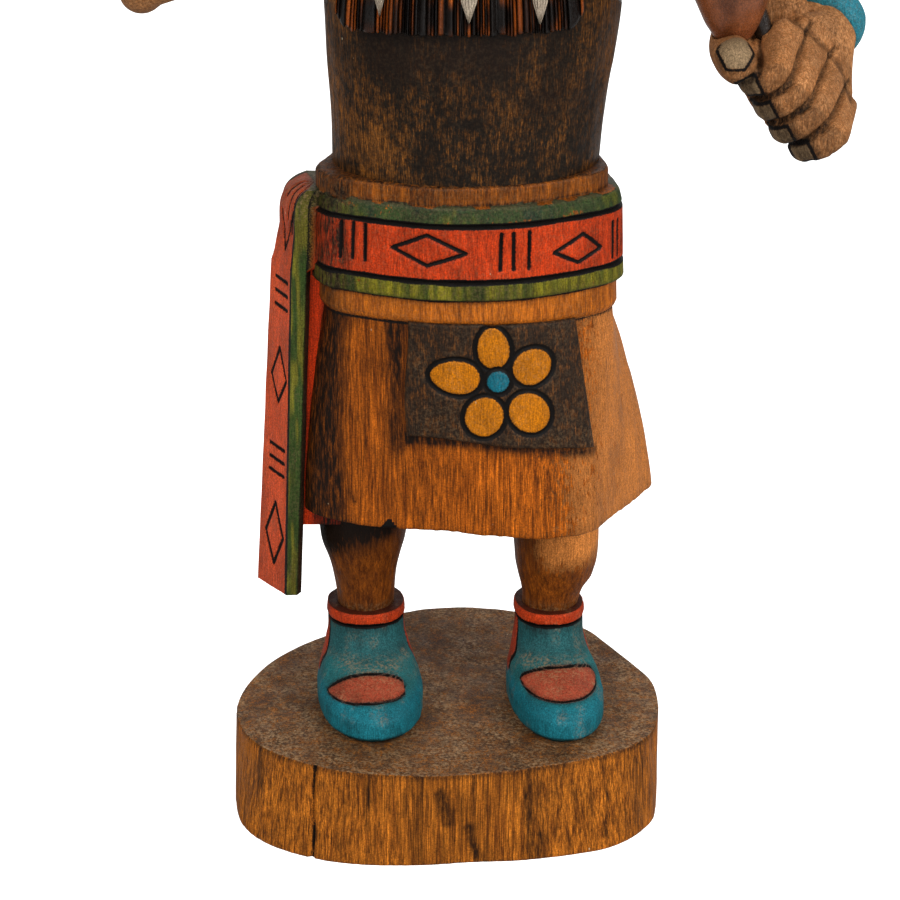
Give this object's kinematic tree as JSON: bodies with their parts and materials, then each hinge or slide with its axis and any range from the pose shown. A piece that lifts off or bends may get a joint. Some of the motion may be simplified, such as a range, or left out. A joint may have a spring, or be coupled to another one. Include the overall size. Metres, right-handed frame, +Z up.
{
  "type": "kachina doll",
  "caption": "Carved and painted wooden doll in kilt, belt and beard mask, arms glued on, rattle in one fist, standing on an oval slice of wood.",
  "frame": {"origin": "centre of the base's underside", "axes": "+Z up, the doll faces -Y, its left hand is on the +X side"},
  "size_m": [0.1937, 0.098, 0.2994],
  "materials": {
    "base_wood": "raw sawn slice with dusty end grain on top",
    "figure_wood": "stained wood with matt paint and burnt lines",
    "arm_wood": "stained wood, sanded smooth",
    "rattle_paint": "red-brown stain under a glossy varnish"
  },
  "bodies": {
    "root": {"base": "base_wood", "figure": "figure_wood", "left_arm": "arm_wood", "right_arm": "arm_wood", "rattle": "rattle_paint"}
  },
  "joints": []
}
